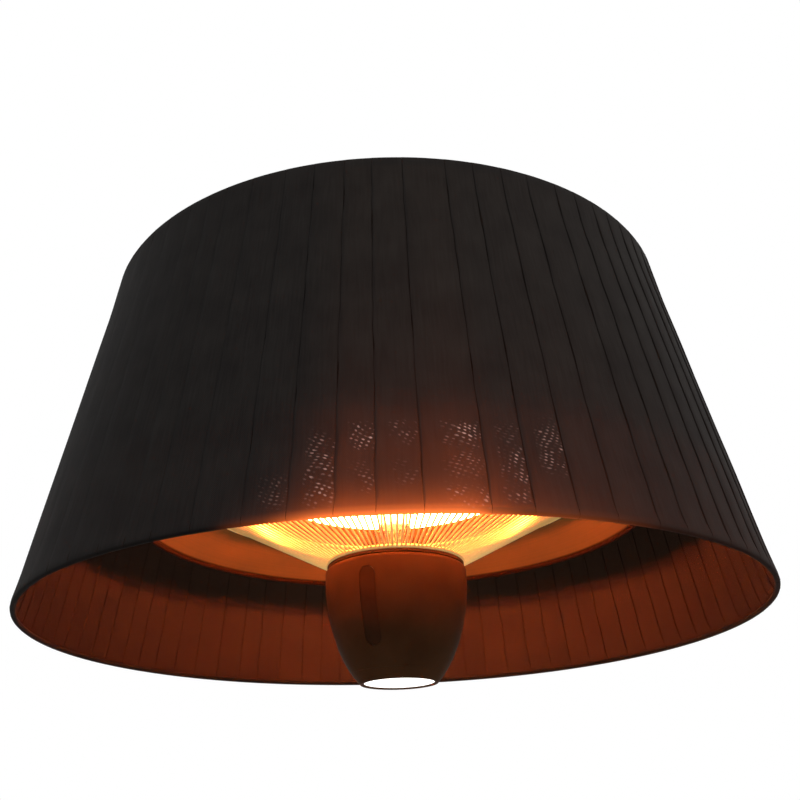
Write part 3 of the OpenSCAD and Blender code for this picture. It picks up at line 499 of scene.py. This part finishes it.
def arc(centre_r, centre_h, radius, first, last, steps):
    """Points of an arc in an outline, from one angle in degrees to another."""
    angles = [math.radians(first + (last - first) * i / steps) for i in range(steps + 1)]
    return [(centre_r + radius * math.cos(a), centre_h + radius * math.sin(a)) for a in angles]


# The pleated shade

PLEATS = 76
LAP = 1.2                       # mm that each pleat laps under the next
CLOTH_THICKNESS = 0.15          # mm
CLOTH_SHARP_ANGLE = 40          # degrees
rng = random.Random(11)
# Widths of the pleats in degrees, from the left of the front round to the right and the back
FIRST_FOLD = -74.0
FRONT_PLEATS = [5.3, 6.9, 4.2, 4.0, 6.0, 5.1, 6.0, 4.5, 3.9, 5.3, 6.2, 5.1, 5.1, 4.5, 5.1, 7.2,
                4.85, 5.2, 5.0, 6.0, 4.6, 4.7, 4.2, 4.4, 4.5, 4.7, 4.6]
RIGHT_PLEATS = [4.7, 5.0, 4.8, 4.9, 4.7, 5.0, 4.8, 4.9, 4.8, 4.2, 4.5, 4.5, 4.8, 4.5, 4.9, 4.1,
                4.3]
# Slack spots by pleat, counted from 0 at the first fold: height and reach in mm, and slackness
# The dashes of these spots are painted with a glow.
SLACK_SPOTS = {
    11: [(17, 10, 0.4)], 12: [(30, 27, 0.9)], 13: [(50, 8, 1.4), (22, 11, 0.4)],
    14: [(51, 8, 0.6), (25, 9, 0.2)], 15: [(52, 9, 1.4), (31, 9, 0.5), (9, 8, 1.0)],
    16: [(52, 7, 0.4), (37, 9, 1.1), (20, 15, 0.9)], 17: [(44, 19, 1.0)],
}

# The next four tables are (degrees from the front, value) round the shade.
# How deep the folds are pressed: those on the left are nearly flat
FOLD_DEPTH = [(-180, 0.6), (-140, 0.4), (-50, 0.4), (-22, 1.0), (120, 1.0), (180, 0.6)]
# How much painted glow lies at the shade's bottom edge
EDGE_LIGHT = [(-180, 0.0), (-20, 0.0), (-14, 0.14), (-11, 0.45), (-8, 0.9), (-5, 1.0), (8, 1.1),
              (10.5, 0.4), (14, 0.15), (22, 0.08), (32, 0.0), (180, 0.0)]
# How much of the lining's own colour shows; less is painted shade, on the left and front
LINING_UNSHADED = [(-180, 1.0), (-160, 1.0), (-130, 0.7), (-95, 0.45), (-60, 0.5), (0, 0.6),
                (60, 0.6), (105, 0.7), (130, 0.9), (150, 1.0), (180, 1.0)]
# How thin the cloth is: thinner cloth lets more light by and takes more painted glow
THIN_CLOTH = [(-180, 0.5), (-70, 0.2), (-50, 0.05), (-16, 0.1), (-13, 0.2), (-10, 0.4), (-5, 0.84),
              (1, 0.86), (5, 0.95), (8, 1.05), (13, 0.68), (24, 0.66), (35, 0.45), (60, 0.3),
              (90, 0.5), (180, 0.5)]

# The cloth's rows: degrees round each hoop, and heights up the shade between them. The cloth
# turns round the hoops at these radii in mm, with its folds pressed to these depths.
BOTTOM_TURN, BOTTOM_TURN_R, BOTTOM_DEPTH = (-172, -140, -105, -70, -35, -5), 2.15, 0.02
ROW_HEIGHTS = [4.0, 6.0, 8.5, 12.0, 16.0, 20.0, 25.0, 30.0, 35.0, 40.0, 45.0, 50.0, 55.0, 61.0,
               70.0, 84.0, 100.0, 116.0, 132.0, 148.0, 164.0, 180.0, 196.0, 212.0, 228.0, 242.0,
               254.0, 264.0, 272.0, 278.0]
TOP_TURN, TOP_TURN_R, TOP_DEPTH = (10, 45, 80, 115, 150, 178), 3.0, 0.1


def pleat_angles():
    """Where each pleat's fold lies round the shade, in radians from the front."""
    widths = FRONT_PLEATS + RIGHT_PLEATS
    rest = [rng.uniform(0.88, 1.12) for _ in range(PLEATS - len(widths))]
    scale = (360 - sum(widths)) / sum(rest)
    angles, at = [], FIRST_FOLD
    for width in widths + [w * scale for w in rest]:
        angles.append(math.radians(at))
        at += width
    return angles


def cone_r(height):
    return SHADE_BOTTOM_R + (SHADE_TOP_R - SHADE_BOTTOM_R) * height / SHADE_HEIGHT


def eased(value, low, high):
    t = min(max((value - low) / (high - low), 0.0), 1.0)
    return t * t * (3 - 2 * t)


def round_hoop(hoop, radius, degrees):
    """A point of the cloth turned round a hoop, and its direction out from the hoop."""
    a = math.radians(degrees)
    out = Vector((math.cos(a), math.sin(a)))
    return Vector(hoop) + out * radius, out


def cloth_rows():
    """The cloth's way from inside the bottom hoop, up the shade and into the top hoop.

    Each row is the radius and height of its outer face, the direction of its inner face, and
    how deep its folds and laps are there: the hoops press them nearly flat."""
    rows = []
    for degrees in BOTTOM_TURN:
        at, out = round_hoop(BOTTOM_HOOP, BOTTOM_TURN_R, degrees)
        rows.append((at, -out, BOTTOM_DEPTH))
    for h in ROW_HEIGHTS:
        depth = (0.15 + 0.85 * eased(h, 2.0, 13.0)) * (1 - 0.6 * eased(h, 258.0, 282.0))
        # The cloth stands off the cone a little where the hoops' tapes push it out.
        bulge = 0.5 * (1 - eased(h, 2.0, 26.0)) + 1.0 * eased(h, 240.0, 284.0)
        rows.append((Vector((cone_r(h) + bulge, h)), Vector((-1.0, 0.0)), depth))
    for degrees in TOP_TURN:
        at, out = round_hoop(TOP_HOOP, TOP_TURN_R, degrees)
        rows.append((at, -out, TOP_DEPTH))
    return rows


def pleat_section(width):
    """One knife pleat from above, in mm: the way round the shade, the depth under its face, and
    its share of slackness."""
    return [
        (0.0, 0.7, 0.0), (0.15, 0.22, 0.0), (0.8, 0.0, 0.0), (0.3 * width, 0.12, 0.0),
        (0.5 * width, 0.3, 0.8), (0.78 * width, 0.6, 1.0), (width - 1.2, 0.82, 0.8),
        (width - 0.1, 0.98, 0.0), (width + 0.15, 1.85, 0.0), (width + LAP, 0.85, 0.0),
        (width + LAP + 0.1, 0.68, 0.0), (width + LAP - 0.2, 0.58, 0.0), (width + 0.4, 0.8, 0.0),
    ]


def round_shade(table, angle):
    """A table's value at an angle in radians from the front; it runs straight between rows."""
    degrees = (math.degrees(angle) + 180) % 360 - 180
    for (low, here), (high, there) in zip(table, table[1:]):
        if degrees <= high:
            return here + (there - here) * (degrees - low) / (high - low)
    return table[-1][1]


def made_shade():
    """The pleated cloth, drawn up from row to row; also its flat width and height in metres."""
    folds = pleat_angles()
    rows = cloth_rows()
    # Each fold's line waves to the sides and each pleat's face swells: length, phase and size.
    waves = [[(rng.uniform(60, 150), rng.uniform(0, TURN), rng.uniform(0.1, 0.4)),
              (rng.uniform(34, 50), rng.uniform(0, TURN), rng.uniform(0.1, 0.35))] for _ in folds]
    swells = [(rng.uniform(90, 200), rng.uniform(0, TURN), rng.uniform(0.05, 0.3)) for _ in folds]

    def row_points(row):
        at, inward, depth = row
        points = []
        for i, fold in enumerate(folds):
            following = folds[(i + 1) % PLEATS] + (TURN if i == PLEATS - 1 else 0.0)
            width = (following - fold) * at.x
            loose = depth * depth
            pressed = depth * round_shade(FOLD_DEPTH, fold)
            shift = sum(size * math.sin(at.y * TURN / length + phase)
                        for length, phase, size in waves[i]) * loose
            length, phase, size = swells[i]
            swell = size * math.sin(at.y * TURN / length + phase) * loose
            for along, down, _ in pleat_section(width):
                along = min(along, width) + max(along - width, 0.0) * depth
                belly = swell * math.sin(math.pi * min(along / width, 1.0))
                spot = at + inward * (down * pressed - belly)
                points.append(place(spot.x, spot.y, fold + (along + shift) / at.x))
        return points

    bm = bmesh.new()
    column = bm.verts.layers.int.new("column")
    row_mark = bm.verts.layers.int.new("row")
    slack = bm.verts.layers.float.new("slack")
    by_angle = {bm.verts.layers.float.new(name): table for name, table in (
        ("thin", THIN_CLOTH), ("edge_light", EDGE_LIGHT), ("lining_unshaded", LINING_UNSHADED))}
    section = pleat_section(1.0)

    def slack_at(v, height):
        pleat, place_in_pleat = divmod(v[column], len(section))
        here = max((size * (1 - eased(abs(height - middle), 0.5 * reach, reach))
                    for middle, reach, size in SLACK_SPOTS.get(pleat, [])), default=0.0)
        return section[place_in_pleat][2] * here

    verts = [bm.verts.new(p) for p in row_points(rows[0])]
    for i, v in enumerate(verts):
        v[column] = i
    edges = [bm.edges.new((verts[i - 1], verts[i])) for i in range(len(verts))]
    climbed = [0.0]
    for number, row in enumerate(rows[1:], 1):
        new_verts, edges = drawn_out(bm, edges)
        points = row_points(row)
        for v in new_verts:
            v.co = points[v[column]]
            v[row_mark] = number
            v[slack] = slack_at(v, row[0].y)
            for layer, table in by_angle.items():
                v[layer] = round_shade(table, math.atan2(v.co.x, -v.co.y))
        climbed.append(climbed[-1] + (row[0] - rows[number - 1][0]).length)

    # Lay the cloth out flat for its weave: metres round the folds, and metres up the shade.
    middle = row_points(rows[len(rows) // 2])
    laid = [0.0]
    for a, b in zip(middle, middle[1:] + middle[:1]):
        laid.append(laid[-1] + (b - a).length)
    uv = bm.loops.layers.uv.new("cloth")
    last_column = len(middle) - 1
    for face in bm.faces:
        closing = {v[column] for v in face.verts} == {0, last_column}
        for loop in face.loops:
            c = loop.vert[column]
            u = laid[-1] if closing and c == 0 else laid[c]
            loop[uv].uv = (u, climbed[loop.vert[row_mark]] * MM)
    bm.normal_update()
    outward = sum(face.normal.xy.dot(face.calc_center_median().xy) for face in bm.faces)
    if outward < 0:
        bmesh.ops.reverse_faces(bm, faces=bm.faces)
    piece = piece_of("pleated_shade", bm, "pleated_fabric", "shade_fabric", CLOTH_SHARP_ANGLE)
    piece.data.materials.append(shade_lining)
    thick = piece.modifiers.new("cloth_thickness", "SOLIDIFY")
    thick.thickness = CLOTH_THICKNESS * MM
    thick.offset = -1.0
    thick.material_offset = 1
    return piece, (TURN * SHADE_BOTTOM_R + 2 * LAP * PLEATS) * MM, climbed[-1] * MM


BOTTOM_WIRE_R, TOP_WIRE_R = 1.4, 2.5
TAPE_FACE, TAPE_BACK = 0.4, 0.1         # mm outside a hoop's wire
TAPE_START, TAPE_END = 40, 380          # degrees round the wire
TAPE_STEPS = 240                        # round the shade


def hoop_tape(name, hoop, wire_r, replaced):
    """Tape rolled round a hoop's wire."""
    outline = (arc(*hoop, wire_r + TAPE_FACE, TAPE_START, TAPE_END, 20)
               + arc(*hoop, wire_r + TAPE_BACK, TAPE_END, TAPE_START, 17))
    return piece_of(name, spun(outline, TAPE_STEPS), "hem_fabric", replaced)


shade, cloth_width, cloth_height = made_shade()
bottom_tape = hoop_tape("bottom_hem_tape", BOTTOM_HOOP, BOTTOM_WIRE_R, "shade_bottom_hem")
top_tape = hoop_tape("top_hem_tape", TOP_HOOP, TOP_WIRE_R, "shade_top_hem")

# The cup and its light

# The cup's side is part of an ellipse: it is widest at its belly, and narrows to its nose at the
# drop below the shade's bottom edge.
CUP_R, CUP_BELLY, CUP_DROP, CUP_NOSE_R = 59.3, 40.0, 45.0, 31.5
CUP_HALF_HEIGHT = (CUP_BELLY + CUP_DROP) / math.sqrt(1 - (CUP_NOSE_R / CUP_R) ** 2)
CUP_TOP, CUP_WALL, CUP_SHOULDER, CUP_LIP = 48.7, 2.0, 4.0, 1.5
BEZEL_TOP = -37.0
CUP_BOTTOM = BEZEL_TOP + 0.1
WINDOW_ANGLE, WINDOW_WIDTH, WINDOW_HEIGHT, WINDOW_TOP = math.radians(-23), 13.0, 60.0, 38.5
WINDOW_GAP, WINDOW_SUNK = 0.3, 0.35             # mm round the window, and behind the cup's face
CUTTER_START, CUTTER_LENGTH = 20.0, 50.0        # mm from the axis, and out from there


def cup_curve(low, high, inset=0.0, steps=40):
    """The cup's side as outline points, from one height up to another."""
    first = math.asin((low - CUP_BELLY) / CUP_HALF_HEIGHT)
    last = math.asin((high - CUP_BELLY) / CUP_HALF_HEIGHT)
    angles = [first + (last - first) * i / steps for i in range(steps + 1)]
    return [(CUP_R * math.cos(a) - inset, CUP_BELLY + CUP_HALF_HEIGHT * math.sin(a))
            for a in angles]


def slot_cutter(grow):
    """A bar with round ends that stands out through the cup's wall where its window is."""
    bm = bmesh.new()
    r = WINDOW_WIDTH / 2 + grow
    middle_top = WINDOW_TOP - WINDOW_WIDTH / 2
    middle_low = WINDOW_TOP - WINDOW_HEIGHT + WINDOW_WIDTH / 2
    points = arc(0, middle_top, r, 0, 180, 16) + arc(0, middle_low, r, 180, 360, 16)
    face = bm.faces.new([bm.verts.new((x * MM, -CUTTER_START * MM, (h - EYE_HEIGHT) * MM))
                         for x, h in points])
    grown = bmesh.ops.extrude_face_region(bm, geom=[face])["geom"]
    bmesh.ops.translate(bm, verts=[v for v in grown if isinstance(v, bmesh.types.BMVert)],
                        vec=(0, -CUTTER_LENGTH * MM, 0))
    bmesh.ops.rotate(bm, verts=bm.verts, cent=(0, 0, 0),
                     matrix=Matrix.Rotation(WINDOW_ANGLE, 3, "Z"))
    bmesh.ops.recalc_face_normals(bm, faces=bm.faces)
    return put_in_scene("slot_cutter", mesh_of("slot_cutter", bm))


def cut_with(piece, cutter, operation):
    """Cuts a piece with another and removes the cutter."""
    step = piece.modifiers.new("cut", "BOOLEAN")
    step.object, step.operation, step.solver = cutter, operation, "EXACT"
    finished = piece.evaluated_get(bpy.context.evaluated_depsgraph_get())
    mesh = bpy.data.meshes.new_from_object(finished)
    piece.modifiers.clear()
    piece.data = mesh
    smooth_faces(mesh)
    bpy.data.objects.remove(cutter)


lip_r = CUP_R - CUP_SHOULDER - CUP_LIP
cup_outline = (
    cup_curve(CUP_BOTTOM, CUP_BELLY)
    + arc(CUP_R - CUP_SHOULDER, CUP_TOP - CUP_SHOULDER, CUP_SHOULDER, 0, 90, 10)
    + [(lip_r, CUP_TOP), (lip_r, CUP_TOP - CUP_WALL),
       (CUP_R - CUP_WALL, CUP_TOP - 2 * CUP_WALL)]
    + cup_curve(CUP_BOTTOM, CUP_BELLY, CUP_WALL)[::-1]
)
cup = piece_of("lamp_cup", spun(cup_outline), "cup_paint", "cup_shell")
cut_with(cup, slot_cutter(WINDOW_GAP), "DIFFERENCE")
window_outline = (cup_curve(BEZEL_TOP, CUP_BELLY, WINDOW_SUNK)
                  + cup_curve(BEZEL_TOP, CUP_BELLY, CUP_WALL)[::-1])
window = piece_of("remote_window", spun(window_outline), "window_plastic", "receiver_window")
cut_with(window, slot_cutter(0.0), "INTERSECT")

bezel_outline = (
    [(28.8, -44.2), (28.95, -44.8), (29.4, -45.0)]
    + cup_curve(-CUP_DROP, BEZEL_TOP, 0.0, 16)
    + [(35.88, BEZEL_TOP), (35.88, -31.0), (32.8, -31.0), (32.8, BEZEL_TOP), (30.5, BEZEL_TOP),
       (30.5, -43.8), (28.8, -43.8)]
)
piece_of("light_bezel_ring", spun(bezel_outline), "cup_paint", "light_bezel")
lens_outline = [(0.0, -44.7), (10.0, -44.6), (18.0, -44.35), (24.0, -44.05), (28.3, -43.75),
                (30.3, -43.7), (30.3, -41.2), (0.0, -41.2)]
piece_of("light_diffuser", spun(lens_outline, closed=False), "lit_lens", "light_lens")

# The wire guard

GUARD_WIRES = 104
GUARD_INNER, GUARD_OUTER, GUARD_RETURN = (56.5, 53.3), (171.0, 113.6), (153.5, 113.6)
WIRE_R, HOOP_R, RETURN_R = 0.9, 1.8, 1.3
WIRE_SIDES, WIRE_STEPS = 8, 4


def wire_end(bm, centre, facing):
    """The edges of a wire's round end at a point; the circle starts flat and is turned."""
    ring = bmesh.ops.create_circle(bm, segments=WIRE_SIDES, radius=WIRE_R * MM)["verts"]
    bmesh.ops.transform(bm, matrix=Matrix.Translation(centre) @ facing, verts=ring)
    return list(dict.fromkeys(edge for v in ring for edge in v.link_edges))


def drawn_wire(bm, edges, way, steps):
    """Draws a wire on from its end by a way, in equal steps."""
    for _ in range(steps):
        new_verts, edges = drawn_out(bm, edges)
        bmesh.ops.translate(bm, verts=list(new_verts), vec=way / steps)


def made_guard():
    """Straight wires up the cone; at the outer hoop each turns in level to a thinner ring."""
    bm = bmesh.new()
    inner, outer, back = place(*GUARD_INNER), place(*GUARD_OUTER), place(*GUARD_RETURN)
    run = Vector(GUARD_OUTER) - Vector(GUARD_INNER)
    up_the_cone = Matrix.Rotation(math.pi / 2 - math.atan2(run.y, run.x), 4, "X")
    drawn_wire(bm, wire_end(bm, inner, up_the_cone), outer - inner, WIRE_STEPS)
    level = Matrix.Rotation(math.pi / 2, 4, "X")
    drawn_wire(bm, wire_end(bm, outer, level), back - outer, 1)
    bmesh.ops.rotate(bm, verts=bm.verts, cent=(0, 0, 0),
                     matrix=Matrix.Rotation(math.pi / GUARD_WIRES, 3, "Z"))
    bmesh.ops.spin(bm, geom=bm.verts[:] + bm.edges[:] + bm.faces[:], cent=(0, 0, 0), axis=AXIS,
                   angle=TURN * (GUARD_WIRES - 1) / GUARD_WIRES, steps=GUARD_WIRES - 1,
                   use_duplicate=True)
    for centre, thick in ((GUARD_INNER, HOOP_R), (GUARD_OUTER, HOOP_R), (GUARD_RETURN, RETURN_R)):
        hoop = mesh_of("hoop", spun(arc(*centre, thick, 0, 330, 11), 2 * GUARD_WIRES))
        bm.from_mesh(hoop)
        bpy.data.meshes.remove(hoop)
    bmesh.ops.recalc_face_normals(bm, faces=bm.faces)
    piece_of("wire_guard_cone", bm, "guard_wire", "wire_guard")


made_guard()

# Light, floor and background

SKY_AS_LIGHT = 0.3              # the background is plain white to look at, and lights this much
world = bpy.data.worlds.new("white_studio")
bpy.context.scene.world = world
world.use_nodes = True
sky = world.node_tree
sky.nodes.clear()
rays = add(sky, "LightPath")
seen = add(sky, "Math", {0: rays.outputs["Is Camera Ray"], 1: rays.outputs["Is Glossy Ray"]},
           operation="MAXIMUM")
seen = add(sky, "Math", {0: seen.outputs[0], 1: rays.outputs["Is Transmission Ray"]},
           operation="MAXIMUM")
level = add(sky, "MapRange", {0: seen.outputs[0], 3: SKY_AS_LIGHT, 4: 1.0})
backdrop = add(sky, "Background", {"Color": (1.0, 1.0, 1.0, 1.0), "Strength": level.outputs[0]})
add(sky, "OutputWorld", {"Surface": backdrop.outputs[0]})

FLOOR_HALF, FLOOR_DROP = 6.0, 1.4       # m
floor_bm = bmesh.new()
bmesh.ops.create_grid(floor_bm, x_segments=1, y_segments=1, size=FLOOR_HALF)
bmesh.ops.translate(floor_bm, verts=floor_bm.verts, vec=(0, 0, -FLOOR_DROP))
floor = put_in_scene("floor", mesh_of("floor", floor_bm))
pale_floor, floor_tree = blank_material("pale_floor")
floor_shader = add(floor_tree, "BsdfPrincipled", {
    "Base Color": srgb("E6E6E4"), "Roughness": 0.9, "Specular IOR Level": 0.1})
add(floor_tree, "OutputMaterial", {"Surface": floor_shader.outputs[0]})
floor.data.materials.append(pale_floor)

SHADE_MIDDLE = Vector((0, 0, -0.2))     # where the lamps aim


def soft_lamp(name, at, size, power, hue):
    """A square studio lamp that aims at the shade and isn't seen itself."""
    data = bpy.data.lights.new(name, "AREA")
    data.energy = power
    data.size = size
    data.color = hue
    lamp = put_in_scene(name, data)
    lamp.location = at
    lamp.rotation_mode = "QUATERNION"
    lamp.rotation_quaternion = (SHADE_MIDDLE - lamp.location).to_track_quat("-Z", "Y")
    lamp.visible_camera = False
    lamp.visible_glossy = False


soft_lamp("key_light", (1.7, -2.0, 1.2), 1.6, 46.0, (1.0, 0.88, 0.8))
soft_lamp("fill_light", (-2.4, -1.6, 0.6), 2.0, 8.0, (0.82, 0.96, 1.0))
soft_lamp("back_light", (0.4, 2.4, 1.4), 1.6, 40.0, (1.0, 1.0, 1.0))

bpy.context.scene.view_settings.view_transform = "Standard"
